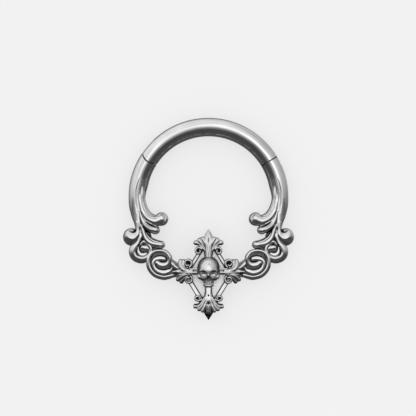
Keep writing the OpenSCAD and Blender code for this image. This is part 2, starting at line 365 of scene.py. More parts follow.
def make_mesh(name, p, quads, normals=None, **values):
    """A mesh object from points in metres, faces of one size, and its own normals."""
    me = bpy.data.meshes.new(name)
    n, side = len(quads), quads.shape[1]
    me.vertices.add(len(p))
    me.vertices.foreach_set("co", np.asarray(p, np.float32).ravel())
    me.loops.add(n * side)
    me.loops.foreach_set("vertex_index", np.asarray(quads, np.int32).ravel())
    me.polygons.add(n)
    me.polygons.foreach_set("loop_start", np.arange(0, n * side, side, dtype=np.int32))
    me.update(calc_edges=True)
    me.validate()
    me.polygons.foreach_set("use_smooth", np.ones(len(me.polygons), bool))
    for key, v in values.items():
        me.attributes.new(key, "FLOAT", "POINT").data.foreach_set("value", np.asarray(v, np.float32))
    if normals is not None:
        me.normals_split_custom_set_from_vertices([tuple(v) for v in np.asarray(normals, float)])
    o = bpy.data.objects.new(name, me)
    bpy.context.scene.collection.objects.link(o)
    return o


def cast(name, clay, mirror=False, patina_and_shade=None, satin=None, finish=None):
    """The skin of a block of clay as a piece. patina_and_shade gives how dark it is where, from its patina and painted
    shade; satin says which faces are matt.
    """
    p, normal, quads, hollow, edge = clay.skin()
    if patina_and_shade:
        hollow = np.clip(patina_and_shade(p[:, 0], p[:, 1], p[:, 2], normal, hollow), 0, 1)
    which = satin(p[:, 0], p[:, 1], p[:, 2], normal)[quads].all(1) if satin else None
    if mirror:
        p, normal, quads = p * [-1, 1, 1], normal * [-1, 1, 1], quads[:, ::-1]
    o = make_mesh(name, to_metres(p), quads, normal, hollow=hollow, edge=edge)
    o.data.materials.append(finish or antique)
    if satin:
        o.data.materials.append(matt)
        o.data.polygons.foreach_set("material_index", which.astype(np.int32))
    return o


def step(v, a, b):
    t = np.clip((v - a) / (b - a), 0, 1)
    return t * t * (3 - 2 * t)


def spiral(cx, cy, a0, a1, r0, r1, w0, w1, top, ridge=0.0, steps=7, flat=1.0):
    """A table for a band that winds from angle a0 to a1 (degrees) round a centre."""
    rows = []
    for i in range(steps + 1):
        t = i / steps
        a, r = math.radians(a0 + (a1 - a0) * t), r0 + (r1 - r0) * t
        rows.append([cx + r * math.cos(a), cy + r * flat * math.sin(a), w0 + (w1 - w0) * t, top, ridge])
    return rows


# ---------------------------------------------------------------- the left side of the front


def torus(clay, y_low, k=0.01):
    """The hoop's round wire, above the level y_low."""
    s, x, y, z = clay.window((-99, y_low - 12, -9), (99, 99, 99))
    g = np.sqrt((np.sqrt(x * x + y * y) - R) ** 2 + (z - W) ** 2) - W
    clay.add(s, np.maximum(g, y_low - y), k)


# x, y, half width, top, ridge, under: the wire thins into the stem of the leaves
STEM = [
    [-68.07, 20, 9.25, 18.51, 0, 9.25], [-69.75, 13, 9.2, 18.51, 0, 9.2], [-70.9, 7, 8.7, 18.5, 0, 8.7],
    [-71.5, 0, 8.3, 18.5, 0, 8.3], [-71.1, -7, 8.4, 18.7, 0.05, 7], [-70.0, -13.5, 8.0, 19.0, 0.05, 5],
    [-69.5, -18.5, 7.2, 19.3, 0.1, 3.5], [-68.9, -24.5, 5.5, 19.6, 0.05, 2], [-68.3, -31.5, 4.4, 19.6, 0, 1.5],
    [-68.2, -37.5, 3.0, 19.0, 0, 1.2],
]
# x, y, half width, top, ridge
LOBE_A = [[-66.6, 19.4, 0.3, 15.0, 0], [-66.3, 12.4, 1.0, 17.0, 0], [-66.3, 5.4, 2.3, 18.0, -0.1], [-66.6, -1.6, 3.2, 18.4, -0.2],
          [-65.2, -8.6, 3.8, 19.0, -0.4], [-63.2, -13.6, 4.1, 19.8, -0.5], [-59.5, -18.5, 4.5, 20.2, -0.5],
          [-54.0, -21.9, 5.1, 20.0, -0.3], [-50.8, -22.0, 5.9, 19.8, -0.1], [-48.4, -21.4, 6.6, 19.6, 0], [-47.2, -21.0, 6.8, 19.6, 0]]
LOBE_B = [[-68.2, -12.6, 1.8, 19.4, -0.1], [-66.3, -19.3, 2.9, 20.0, -0.3], [-62.7, -25.6, 4.1, 20.0, -0.4],
          [-57.8, -29.5, 4.6, 19.2, -0.35], [-54.6, -31.2, 4.4, 18.8, -0.1], [-53.0, -32.0, 4.3, 18.8, 0]]
AB_FLUTE = [[-66.8, -11.8, 0.5, 18.6, 0], [-65.9, -16.2, 1.0, 19.2, -0.2], [-64.0, -19.4, 1.4, 19.4, -0.3], [-61.0, -22.6, 1.6, 19.4, -0.3],
            [-57.2, -25.2, 1.5, 19.0, -0.3], [-53.4, -27.3, 1.1, 18.2, -0.2], [-51.4, -28.4, 0.7, 17.4, 0]]
LOBE_C = [[-66.2, -26.5, 1.6, 20.0, 0], [-64.9, -33.5, 2.6, 20.2, -0.1], [-62.2, -39.5, 3.8, 20.2, -0.25],
          [-57, -44, 4.2, 20.0, -0.25], [-50.5, -46.3, 4.1, 19.2, 0], [-47.7, -46.8, 4.1, 19.2, 0]]
BC_WEB = [[-66.5, -30.0, 2.0, 15.5, 0], [-63.0, -33.2, 2.5, 15.0, 0], [-60.3, -36.0, 2.4, 14.5, 0], [-58.6, -38.0, 1.6, 14.0, 0]]
LOBE_D = [[-70.7, -24.5, 1.8, 19.4, 0], [-70.3, -31.5, 2.6, 19.6, 0], [-71.1, -35.8, 4.2, 19.8, 0],
          [-73.5, -38.6, 6, 19.8, 0], [-75, -39, 6, 19.8, 0]]
D_WEB = [[-71.5, -34.2, 2.4, 15, 0], [-75, -34, 2.6, 15.5, 0], [-78.5, -35, 3, 15, 0]]
# the small scroll: an outer band that winds in, and its two inner curls
SMALL_OUT = [[-67.4, -33, 1, 18.4, 0], [-67.8, -38, 2, 19.8, 0.2], [-70.3, -43.6, 2.8, 19.8, 0.4],
             [-74.5, -48.6, 3.5, 19.6, 0.5], [-75.9, -54, 3.6, 19.4, 0.5], [-73.5, -59.2, 3.6, 19.4, 0.5],
             [-67.1, -61.8, 3.5, 19.4, 0.5], [-60.9, -59.8, 2.9, 19.4, 0.4], [-57.5, -54.6, 2.3, 19.6, 0.2],
             [-58.1, -48.8, 2, 19.6, 0], [-62.5, -44.2, 1.8, 19.4, 0], [-65.1, -43.6, 1.6, 19, 0],
             [-67.7, -46, 1.4, 18.6, 0]]
SMALL_UP = [[-59.1, -52.4, 1.5, 18.6, 0], [-60.3, -49.8, 2.2, 19, 0.3], [-63.7, -48.6, 2.5, 19.2, 0.5],
            [-66.1, -48.9, 1.8, 18.8, 0.2]]
SMALL_LOW = [[-70, -49, 0.7, 17.4, 0], [-69.5, -52.8, 1.7, 18.6, -0.3], [-67.3, -55.7, 2.5, 19, -0.5],
             [-64.1, -56, 2.5, 18.8, -0.4], [-62.4, -55.6, 2, 18.4, 0]]
# the big scroll: an outer band that winds in to the lower curl, and an inner one that winds to the upper curl
BIG_OUT = [[-32.5, -75.0, 1.1, 15.5, -0.2], [-34.8, -76.7, 1.8, 17.4, -0.4], [-37.6, -78.0, 2.1, 18.4, -0.5],
           [-41.2, -79.0, 2.2, 19.2, -0.6], [-45.0, -79.4, 2.2, 19.8, -0.6],
           [-52.7, -77.0, 2.2, 20.0, -0.5], [-58.3, -71.2, 2.2, 20.2, -0.4], [-60.2, -64.0, 2.0, 20.2, -0.3],
           [-58.6, -57.2, 1.6, 20.2, -0.2], [-54.2, -53.2, 1.3, 20.2, -0.1], [-48.0, -52.3, 1.2, 20.2, 0],
           [-42.0, -54.0, 1.5, 20.2, -0.2], [-38.6, -59.4, 2.1, 20.0, -0.2], [-39.8, -64.2, 2.4, 19.6, 0.1],
           [-43.6, -66.3, 2.8, 19.2, 0.3], [-47.9, -66.0, 3.1, 19.2, 0.3], [-50.9, -64.4, 2.8, 19.0, 0.1]]
BIG_IN = [[-37.2, -70.3, 1.2, 16.5, 0.3], [-39.0, -71.9, 2.0, 18.2, 0.4], [-44.5, -73.7, 2.5, 19.0, 0.4],
          [-50.3, -72.4, 2.2, 19.2, 0.3], [-54.0, -69.0, 1.9, 19.2, 0.1], [-55.1, -64.3, 1.8, 19.2, -0.1],
          [-53.0, -60.9, 2.2, 19.2, -0.3], [-48.3, -59.6, 2.6, 19.2, -0.4], [-44.4, -60.3, 2.4, 18.8, -0.2]]
LINK = [[-39.3, -62.0, 1.4, 16.5, 0], [-37.2, -65.1, 2.3, 17.5, 0.3], [-33.7, -69.0, 2.6, 18.0, 0.3], [-28.8, -71.3, 2.1, 17.5, 0]]
# x, y, scale of the lines of the leaves, by what they part
TUBE_LINE = [[-69.0, 18.5, 0.2], [-70.5, 13.5, 0.7], [-71.7, 7.5, 1], [-72.1, 1.5, 1], [-72.0, -5.5, 1], [-71.5, -9.5, 0.8], [-71.3, -14.5, 0.2]]
STEM_LINE = [[-75.3, -0.5, 0.1], [-75.0, -8.5, 0.8], [-74.3, -16.5, 1], [-73.3, -23.5, 1], [-72.7, -29.5, 0.6]]
A_TOP = [[-65.5, 19.9, 0.1], [-66.7, 9.9, 0.6], [-67.2, 1.9, 0.9], [-66, -5.1, 1], [-64, -11.1, 1], [-61, -15.1, 1], [-57.5, -17.6, 1],
         [-52.5, -17.8, 0.8], [-49.5, -17.1, 0.3]]
A_FLUTE = [[-64.5, -13.6, 0.2], [-60.5, -17.9, 1], [-56.5, -19.7, 1], [-51.5, -19.8, 0.6], [-49.5, -19.3, 0.2]]
A_LOW = [[-70, 0.9, 0.1], [-69, -6.1, 0.8], [-67.5, -12.6, 1], [-65.5, -17.8, 1], [-63, -21.4, 0.8], [-59.5, -23.7, 0.5], [-55.5, -25.2, 0.1]]
A_CURL = [[-51, -18.9, 0.2], [-48.6, -17.4, 0.8], [-46.2, -16.4, 1], [-44.2, -17.7, 1], [-43.5, -20.3, 0.9], [-44, -23.1, 0.3]]
B_LOW = [[-69, -13.8, 0.2], [-68.2, -19.8, 0.8], [-67.2, -24.8, 1], [-65.3, -28.3, 1.1], [-62.5, -31.3, 1.0], [-59.5, -33.8, 0.7], [-57.5, -35.3, 0.3]]
B_FLUTE = [[-63.5, -21.5, 0.1], [-60.3, -25.0, 1], [-56.0, -27.8, 1], [-51.6, -29.6, 0.2]]
B_FLUTE_2 = [[-64.5, -24.0, 0.1], [-61.5, -27.0, 1], [-57.0, -29.8, 1], [-52.6, -31.4, 0.2]]
C_FLUTE = [[-63.7, -31, 0.2], [-61.2, -37.5, 1], [-57.5, -41.2, 1], [-53.5, -43.5, 0.9], [-49, -44.3, 0.3]]
C_UNDER = [[-58, -46.5, 0.3], [-53, -48.5, 1], [-48, -48.8, 0.6]]
NECK = [[-68.1, -29.0, 0.3], [-68.2, -31.5, 1], [-68.2, -35.0, 0.6]]
D_CURL = [[-72.1, -31.5, 0.6], [-73.3, -33.2, 1], [-75.3, -33.9, 1], [-77.3, -33.2, 0.8], [-78.9, -31.6, 0.3]]
D_RIDGE = [[-69.9, -32.5, 0.2], [-71.1, -38, 0.9], [-75.5, -41, 1], [-79.9, -38.8, 1], [-81.7, -34.6, 0.8],
           [-80.1, -31.2, 0.3]]
WEB = [[-41, -58], [-29, -66], [-26, -71], [-26, -78.6], [-38, -79.8], [-48, -80], [-52, -66]]


def side_clay(h):
    """Leaves and scrolls of the left side, without the end of the arm."""
    c = Clay((-89, -86, -1.2), (-23, 57, 24.5), h)
    torus(c, 16.0)
    c.band(STEM, k=0.01)
    c.band(LOBE_D, k=1.0, full=1.25, under=2.5)
    c.ball((-77.1, -38.8, 10.6), (8.3, 8.8, 9.4), 1.6)
    c.band(D_WEB, k=0.8, full=0.7)
    c.band(BC_WEB, k=0.5, full=0.5)
    c.band(LOBE_C, k=0.8, full=1.3, under=2.0)
    c.band(LOBE_B, k=0.8, full=1.3, under=2.0)
    c.band(LOBE_A, k=0.8, full=1.25, under=2.5)
    c.band(AB_FLUTE, k=0.35, full=1.2)
    for rows, depth, width in ((TUBE_LINE, 0.6, 0.6), (STEM_LINE, 0.6, 0.9), (A_TOP, 0.6, 0.55), (A_FLUTE, 0.45, 0.5),
                               (A_LOW, 0.7, 0.5), (A_CURL, 0.9, 0.55), (B_LOW, 1.0, 0.55), (B_FLUTE, 0.5, 0.45), (B_FLUTE_2, 0.4, 0.4),
                               (C_FLUTE, 0.55, 0.45), (C_UNDER, 0.5, 0.5), (NECK, 1.0, 0.8), (D_CURL, 1.5, 0.8),
                               (D_RIDGE, -1.0, 2.3)):
        c.line(rows, depth, width, 11)
    # scrolls on their plates
    s, x, y, z = c.window((-80, -83, -9), (-24, -34, 13))
    plate = (np.sqrt(((x + 49.3) / 0.8) ** 2 + (y + 66.4) ** 2) - 13.6) * 0.85
    for cx, cy, r in ((-66.8, -53.6, 8.6), (-65.5, -43.4, 5.6), (-56.5, -50.5, 5.6), (-51.5, -51.6, 3.0)):
        plate = np.minimum(plate, np.sqrt((x - cx) ** 2 + (y - cy) ** 2) - r)
    plate = np.minimum(plate, polygon(x, y, WEB))
    c.add(s, np.maximum(np.maximum(plate, z - 9.2), -2.5 - z) + 0 * x, 0.3)
    c.band(SMALL_LOW, k=0.3, full=1.1, under=1)
    c.band(SMALL_UP, k=0.3, full=1.1, under=1)
    c.band(SMALL_OUT, k=0.35, full=1.15)
    c.band(BIG_IN, k=0.3, full=0.8)
    c.band(BIG_OUT, k=0.3, full=0.9)
    c.band(LINK, k=0.4, full=1.0)
    # the back is flat
    s, x, y, z = c.all_of()
    c.cut(s, z + 0 * x + 0 * y, 0.5)
    return c


def side_patina_and_shade(x, y, z, normal, hollow):
    """Patina in the hollows, with painted shade: on the sunken plates behind the scrolls, where the bands run down
    behind the arm, on the web between lobes B and C, and on faces turned down, so it is darker under than over.
    """
    # painted shade on the sunken plates behind the scrolls
    low = 0.52 * step(z, 11.5, 9.6) * step(normal[:, 2], 0.2, 0.6) * step(z, 5, 8)
    # painted shade on faces turned down
    under = 0.45 * step(-normal[:, 1], 0.35, 0.8) * step(y, -14, -20) * step(z, 2, 6)
    hollow = np.minimum(0.84 * hollow, 0.72 - 0.34 * step(y, -38, -44))
    # painted shade where the scroll's bands run down behind the arm
    arm_shade = 0.5 * step(x, np.where(y > -75, -37.0, -35.4), np.where(y > -75, -35.6, -34.2)) * step(y, -68.5, -70.0)
    # painted shade on the web between lobes B and C, under their tops
    web_shade = 0.6 * step(np.hypot(x + 61.5, y + 35.0), 6.5, 5.0) * step(z, 17.2, 16.0) * step(z, 6, 9)
    return np.maximum(np.maximum(hollow, arm_shade), np.maximum(np.maximum(low, web_shade), under))


def hinge_patina(x, y, z):
    """Dark in the seam round the knuckle."""
    t, n = local(x, y, HINGE_ANGLE)
    return step(np.abs(np.hypot(t, n) - 0.808 * MM), 0.055 * MM, 0.03 * MM) * step(t, 0.2 * MM, 0.3 * MM)


def catch_patina(x, y, z):
    """Dark in the seam at the catch."""
    t, n = local(x, y, SEAM_ANGLE)
    return step(np.abs(t), 0.05 * MM, 0.025 * MM) * step(y, 20, 24)


def left_patina_and_shade(x, y, z, normal, hollow):
    return np.maximum(side_patina_and_shade(x, y, z, normal, hollow), hinge_patina(x, y, z))


def right_patina_and_shade(x, y, z, normal, hollow):
    return np.maximum(side_patina_and_shade(x, y, z, normal, hollow), catch_patina(-x, y, z))


def local(x, y, angle):
    """Distance on along the ring and outward from the wire's centre at a ring angle, grid units."""
    cx, cy = R * math.cos(angle), R * math.sin(angle)
    t = (x - cx) * -math.sin(angle) + (y - cy) * math.cos(angle)
    n = (x - cx) * math.cos(angle) + (y - cy) * math.sin(angle)
    return t, n


def boxed(a, a0, a1, b, b0, b1, c, c0, c1):
    return np.maximum(np.maximum(np.maximum(a0 - a, a - a1), np.maximum(b0 - b, b - b1)), np.maximum(c0 - c, c - c1))


def hinge_end(c):
    """The left arm's end: hollow round the hinge, with the tongue that the pin goes through."""
    s, x, y, z = c.window((-89, 28, -9), (-23, 99, 99))
    t, n = local(x, y, HINGE_ANGLE)
    far = np.sqrt(t * t + n * n)
    gone = np.minimum(far - 0.815 * MM, t)  # inside the knuckle's room, and all beyond it
    c.cut(s, gone, 0.35)
    dz = np.abs(z - W) - 0.15 * MM
    tongue = np.maximum(np.minimum(far - 0.45 * MM, boxed(t, 0, 1.1 * MM, n, -0.44 * MM, 0.35 * MM, z, -9, 99)), dz)
    c.add(s, tongue, 0.15)
    c.cut(s, far - 0.22 * MM + 0 * z, 0.15)


def catch_end(c):
    """The other arm's end, mirrored: square, with a slot that the closing tongue drops into."""
    s, x, y, z = c.window((-89, 20, -9), (-23, 99, 99))
    t, n = local(x, y, math.pi - SEAM_ANGLE)
    c.cut(s, t + 0.005 * MM + 0 * z, 0.35)
    slot = boxed(t, -0.3 * MM, 0.56 * MM, n, -0.36 * MM, 2 * MM, z, W - 0.17 * MM, W + 0.17 * MM)
    c.cut(s, slot, 0.15)


# ---------------------------------------------------------------- the middle of the front

LOZENGE_Y = -77.4


def rhombus(x, y, half_x, half_y):
    return (np.abs(x) / half_x + np.abs(y - LOZENGE_Y) / half_y - 1) * half_x * half_y / math.hypot(half_x, half_y)


def lozenge(x, y, inset):
    """Distance to the lozenge's outline, or to its bars' inner edge (1). The bars are narrower in the upper half."""
    lower = rhombus(x, y, *((24.8, 40.0), (19.6, 31.6))[inset])
    upper = rhombus(x, y, *((25.6, 41.3), (21.4, 34.5))[inset])
    return np.where(y > LOZENGE_Y, upper, lower)


def beside(x, y, rows, width):
    """1 along a drawn line and on its mirrored copy, 0 away from it."""
    d, _, _ = along(-np.abs(x), y, spline([r + [0.0] for r in rows], 6))
    return step(np.abs(d), width, 0.5 * width)


UPRIGHT = [[0, -91, 2.6, 18.6, 0], [0, -87, 3.0, 19.8, 0], [0, -80, 3.0, 21.2, 0], [0, -60, 3.0, 21.4, 0],
           [0, -52, 3.0, 21.4, 0], [0, -46, 3.8, 21.0, 0], [0, -40.5, 4.4, 20.2, 0], [0, -36.5, 3.4, 19.2, 0],
           [0, -33.2, 1.4, 18.0, 0], [0, -31.6, 0.5, 17.0, 0]]
TOP_LEAVES = [
    [[-1.2, -53, 1.3, 20.4, 0], [-3.4, -45, 1.9, 20.6, 0], [-5.6, -40.9, 2.3, 20.0, 0]],
    [[-1.6, -53, 1.3, 20.4, 0], [-5.0, -46.5, 1.9, 20.2, 0], [-9.1, -42.4, 2.4, 19.4, 0]],
    [[-2.2, -53, 1.3, 20.4, 0], [-6.2, -48.2, 1.9, 20.0, 0], [-9.6, -45.2, 2.3, 19.4, 0], [-12.8, -44.6, 2.3, 18.8, 0]],
]
FOOT = [[0, -86, 3.2, 19.2, 0], [0, -91, 2.8, 19.7, 0], [0, -95.5, 2.7, 20.2, 0], [0, -99.5, 3.8, 20.7, 0],
        [0, -103.5, 4.8, 21.0, 0], [0, -108.5, 4.6, 21.2, 0], [0, -112.3, 3.2, 20.8, 0]]
FOOT_LEAVES = [
    [[0, -102.6, 1.6, 20.2, 0], [0, -107.0, 2.2, 20.8, 0], [0, -112.2, 2.6, 20.8, 0]],
    [[-1.6, -101.6, 1.6, 20.2, 0], [-4, -107.1, 2.3, 21.2, 0], [-5.8, -111.6, 2.4, 21.2, 0]],
    [[-2.4, -100.6, 1.6, 20.2, 0], [-6.2, -105.9, 2.2, 20.9, 0], [-9.2, -110.2, 2.4, 20.8, 0]],
    [[-3, -99.6, 1.6, 20.2, 0], [-7.2, -105.2, 1.7, 20.6, 0], [-10.5, -107.6, 1.9, 20.2, 0], [-13.3, -108, 2.0, 19.6, 0]],
]
ARM = [[2, -72.1, 2.3, 21.2, 0.3], [-10, -72.1, 2.3, 21.2, 0.3], [-17, -72.1, 2.3, 21.0, 0.3], [-24, -72.4, 2.1, 20.4, 0.2],
       [-30, -72.9, 1.5, 19.0, 0.1], [-35.6, -73.4, 0.6, 17.8, 0]]
ARM_BEAD = [[2, -73.9, 0.75, 21.5, 0.4], [-12, -73.9, 0.75, 21.5, 0.4], [-19, -73.9, 0.75, 21.1, 0.4], [-25, -73.8, 0.7, 20.5, 0.3],
            [-31, -73.6, 0.5, 18.8, 0]]
SIDE_LEAVES = [
    [[-15.7, -73, 1.3, 20.6, 0], [-22.7, -71.3, 1.9, 20.0, 0], [-25.1, -67, 2.0, 19.4, 0], [-25, -63.1, 2.0, 18.8, 0]],
    [[-17.7, -73.5, 1.3, 20.6, 0], [-25.7, -71, 2.0, 19.8, 0], [-28.3, -66.5, 2.1, 19.0, 0], [-28, -62.9, 1.9, 18.4, 0]],
    [[-20.5, -74.8, 1.2, 20.4, 0], [-24.5, -75.6, 1.9, 19.8, 0], [-28.8, -76.6, 1.8, 19.0, 0]],
    [[-19.5, -76.0, 1.3, 20.2, 0], [-25.0, -78.2, 1.7, 19.6, 0], [-28.4, -81.4, 1.6, 18.4, 0]],
    [[-17.7, -75, 1.3, 20.6, 0], [-25.7, -77.5, 2.1, 19.8, 0], [-30.3, -81.1, 2.2, 18.6, 0]],
    [[-16.7, -75.3, 1.3, 20.6, 0], [-23.2, -78.5, 2.0, 19.8, 0], [-26.9, -83.1, 2.2, 18.6, 0]],
]


def centre_clay(h):
    """The lozenge and the cross, left half up to the middle line."""
    n = int(round(38 / h))
    c = Clay((-n * h, -125, -1.2), (0, -27, 25), h)
    s, x, y, z = c.all_of()
    plate = np.maximum(np.maximum(lozenge(x, y, 1) - 1.0, z - 16.0), -2.5 - z)
    c.add(s, plate, 0.2)
    rim = np.maximum(rounded(np.maximum(lozenge(x, y, 0), -lozenge(x, y, 1)), z - 17.6, 0.5), -2.5 - z)
    c.add(s, rim, 0.4)
    c.band(UPRIGHT, k=0.4, full=0.5)
    c.band([[-1, -54, 3, 18, 0], [-4, -46.5, 4.5, 18.5, 0], [-7, -43.8, 4.6, 17.5, 0]], k=0.3, full=0.5)
    c.band([[0, -98, 4, 15, 0], [-2, -106.5, 8, 18.0, 0], [-1, -110.8, 5, 18.4, 0]], k=0.3, full=0.4)
    for leaf in TOP_LEAVES:
        c.band(leaf, k=0.5, full=0.8)
    c.band(spiral(-9.9, -52.8, 35, 400, 3.7, 1.5, 1.35, 0.75, 20.0, steps=10), k=0.25, full=1.2)
    c.ball((-9.9, -52.8, 9.0), (3.4, 3.4, 6.0), 0.3)
    c.band(FOOT, k=0.5, full=0.5)
    for leaf in FOOT_LEAVES:
        c.band(leaf, k=0.5, full=0.55)
    c.band(spiral(-10.3, -99.6, -30, -400, 3.95, 1.5, 1.25, 0.75, 19.6, steps=10, flat=0.69), k=0.25, full=1.2)
    c.ball((-10.3, -99.6, 9.0), (3.4, 2.5, 6.0), 0.3)
    c.band(ARM, k=0.4, full=0.45, flat=18.8)
    c.band(ARM_BEAD, k=0.4, full=1.0)
    for leaf in SIDE_LEAVES:
        c.band(leaf, k=0.3, full=1.1)
    c.band(spiral(-20.7, -65.1, -60, 300, 4.2, 2.0, 1.35, 0.9, 19.8, steps=10), k=0.25, full=1.2)
    c.ball((-20.7, -65.1, 9.0), (3.8, 3.8, 6.0), 0.3)
    c.band(spiral(-20.1, -81.2, 60, -300, 4.0, 1.9, 1.3, 0.9, 19.8, steps=10), k=0.25, full=1.2)
    c.ball((-20.1, -81.2, 9.0), (3.6, 3.6, 6.0), 0.3)
    # veins, the dot and the small pierced triangle at the foot
    for rows, depth, width in (
        ([[0, -38.5, 0.1], [0, -42, 1], [0, -46.5, 0.1]], 0.9, 0.5),
        ([[-2.6, -58, 0.1], [-2.9, -50, 1], [-3.9, -41, 0.2]], 0.5, 0.45),
        ([[-1.0, -59, 0.1], [-1.2, -52, 1], [-1.8, -45, 0.1]], 0.35, 0.4),
        ([[-3.0, -52, 0.1], [-4.4, -46.8, 1], [-6.0, -42.0, 0.1]], 0.35, 0.4),
        ([[-2.5, -52, 0.1], [-5.4, -46.6, 1], [-8.0, -42.0, 0.2]], 0.5, 0.45),
        ([[-4.0, -51, 0.1], [-7.5, -46.6, 1], [-11.2, -43.6, 0.2]], 0.5, 0.4),
        ([[-5.0, -50, 0.1], [-8.4, -47.2, 1], [-12.0, -45.4, 0.1]], 0.35, 0.4),
        ([[-1.4, -103, 0.1], [-2.6, -108, 1], [-3.3, -113.5, 0.8]], 0.5, 0.45),
        ([[-0.5, -105.5, 0.1], [-1.2, -109, 1], [-1.6, -113.5, 0.8]], 0.3, 0.35),
        ([[-2.6, -102.0, 0.1], [-5.2, -107.8, 1], [-7.6, -113, 0.8]], 0.5, 0.45),
        ([[-3.6, -101.4, 0.1], [-7.0, -106.2, 1], [-11.0, -110.4, 0.8]], 0.5, 0.45),
        ([[-0.3, -99.5, 0.1], [-2.0, -103.5, 1], [-3.5, -109.5, 0.1]], -0.4, 0.5),
        ([[-1.4, -98.5, 0.1], [-4.0, -102.6, 1], [-8.4, -108.2, 0.1]], -0.4, 0.5),
        ([[-2.2, -98.5, 0.1], [-5.6, -102.8, 1], [-9.6, -106.8, 0.1]], 0.4, 0.4),
        ([[-7.5, -103.2, 0.2], [-9.6, -105.6, 1], [-13.2, -106.3, 0.9]], 0.6, 0.45),
        ([[-8, -72.3, 1], [-14, -72.3, 1], [-20, -72.4, 0.3]], 0.5, 0.5),
        ([[-19, -72.5, 0.1], [-24.0, -70.0, 1], [-26.0, -64.5, 0.2]], 0.5, 0.4),
        ([[-19, -76.5, 0.1], [-24.5, -79.0, 1], [-28.6, -83.0, 0.2]], 0.5, 0.4),
    ):
        c.line(rows, depth, width, 12)
    c.dent((0, -96.9), (0.5, 0.5), 2.0, 14)
    c.dent((0, -105.0), (1.1, 0.6), 2.0, 12)
    c.dent((0, -103.9), (0.5, 0.8), 1.5, 12)
    # the spear at the foot: its face falls away to the tip
    sp, x, y, z = c.window((-12, -125, -9), (9, -108, 99))
    spear = (np.abs(x) * 7.3 + (-115.0 - y) * 4.3 - 4.3 * 7.3) / 8.5
    spear = np.maximum(spear, ((-115.2 - y) * 10.5 + (z - 17.8) * 7.3) / 12.8)
    spear = np.maximum(spear, ((-115.2 - y) * 5.0 + (1.0 - z) * 7.3) / 8.9)
    c.add(sp, np.maximum(spear, y + 114.4), 0.15)
    s, x, y, z = c.all_of()
    c.cut(s, z + 0 * x + 0 * y, 0.5)
    whole = Clay((-n * h, -125, -1.2), (-n * h, -125, -1.2), h)
    whole.f = np.concatenate([c.f, c.f[-2::-1]], 0)
    return whole


# centres of the volutes and how far the dark in their eyes goes
EYES = [(-9.9, -52.8, 3.6), (-10.3, -99.6, 3.0), (-20.7, -65.1, 4.0), (-20.1, -81.2, 3.8)]
# volutes whose lower rings get painted shade on top
SHADED_LOW_SIDES = [(-9.9, -52.8), (-10.3, -99.6), (-20.1, -81.2)]
# painted shade on the ground beside the arms and the stems: width, line
SHADE_BESIDE = [(1.2, [[-8.5, -75.4], [-14.0, -75.4], [-18.2, -75.5], [-20.6, -76.6], [-22.6, -79.5]]),
         (0.8, [[-14.2, -109.2], [-11.0, -109.3], [-9.2, -109.9], [-7.6, -111.2]]),
         (0.7, [[-3.1, -88.0], [-3.1, -93.0], [-3.8, -96.6], [-5.3, -99.4]]),
         (0.8, [[-8.5, -51.5], [-5.6, -52.0], [-4.0, -54.0], [-3.4, -60.0]])]


def centre_patina_and_shade(x, y, z, normal, hollow):
    """Painted shade on the bars' outer walls and in their corners by the panels (with the patina there), beside the
    arms and the stems, on the spear, under the leaves and the volutes, and on the lower parts of some volutes' rings; a
    faint line along the bars, dark in the volutes' eyes, a dark wash over the leaves, and a painted highlight on the
    foot's middle leaf.
    """
    r, inner = lozenge(x, y, 0), lozenge(x, y, 1)
    low = step(z, 18.6, 17.9) * step(z, 9, 11)
    # painted shade on the bars' outer walls and in their corners by the panels, with the patina in those corners
    dark = 0.95 * step(np.abs(r + 0.35), 1.1, 0.4) * low
    dark = np.maximum(dark, step(np.abs(inner - 0.1), 0.85, 0.4) * low)
    dark = np.maximum(dark, 0.32 * step(np.abs(inner - 2.0), 0.55, 0.15) * low)
    # painted shade beside the arms and the stems
    for rows in SHADE_BESIDE:
        dark = np.maximum(dark, beside(x, y, rows[1], rows[0]) * step(z, 19.6, 18.8) * step(z, 11, 13))
    # painted shade: the spear is dark all over
    spear = step(y, -114.4, -115.2)
    for cx, cy, reach in EYES:
        dark = np.maximum(dark, 0.9 * step(np.hypot(np.abs(x) + cx, y - cy), 0.85 * reach, 0.7 * reach) * step(z, 18, 16.8) * step(z, 8, 11))
    # painted shade on faces turned down under the leaves and the volutes, and on top of the lower parts of some
    # volutes' rings
    under = 0.5 * step(-normal[:, 1], 0.35, 0.8) * step(z, 12.5, 14) * step(y, -57, -60) * step(y, -93, -90)
    under = np.maximum(under, 0.8 * step(-normal[:, 1], 0.3, 0.65) * step(z, 6, 10) * step(y, -104, -107))
    for cx, cy in ((-9.9, -52.8), (-10.3, -99.6), (-13.5, -44.8), (-20.7, -65.1), (-20.1, -81.2), (-27.5, -82.0)):
        near = step(np.hypot(np.abs(x) + cx, y - cy), 6.4, 5.4)
        under = np.maximum(under, 0.8 * step(-normal[:, 1], 0.05, 0.35) * step(y - cy, 0.0, -1.2) * step(z, 8, 12) * near)
        if (cx, cy) in SHADED_LOW_SIDES:
            far = np.hypot(np.abs(x) + cx, y - cy)
            far = step(far, 2.9, 3.7) * step(far, 5.6, 4.8) * step(np.abs(x), -cx - 3.8, -cx - 2.8)
            under = np.maximum(under, 0.8 * step(y - cy, -1.2, -2.6) * far * step(z, 18.0, 18.6))
    hollow = np.where(centre_satin(x, y, z, normal), 0.2 * hollow, hollow)
    leaf = 0.34 * step(z, 14, 17) * (step(y, -53, -49) + step(y, -99, -103) + step(np.abs(x), 19, 23) * (1 + 0.3 * step(y, -75, -77)))
    # painted highlight: the dark and the painted shade lifted off the foot's middle leaf
    bright = 0.6 * step(np.abs(x), 4.4, 3.2) * step(y, -105.3, -106.6) * step(y, -113.4, -112.4) * step(z, 17, 18.5)
    return np.maximum((1 - bright) * np.maximum(1.15 * hollow, leaf), np.maximum(np.maximum(dark, spear), (1 - bright) * under))


def centre_satin(x, y, z, normal):
    flat = (normal[:, 2] > 0.5) & (z < 17.9) & (z > 12) & (y > -112)
    for cx, cy, r in EYES:
        flat &= np.hypot(np.abs(x) + cx, y - cy) > r
    return flat & (lozenge(x, y, 0) < 0.4)


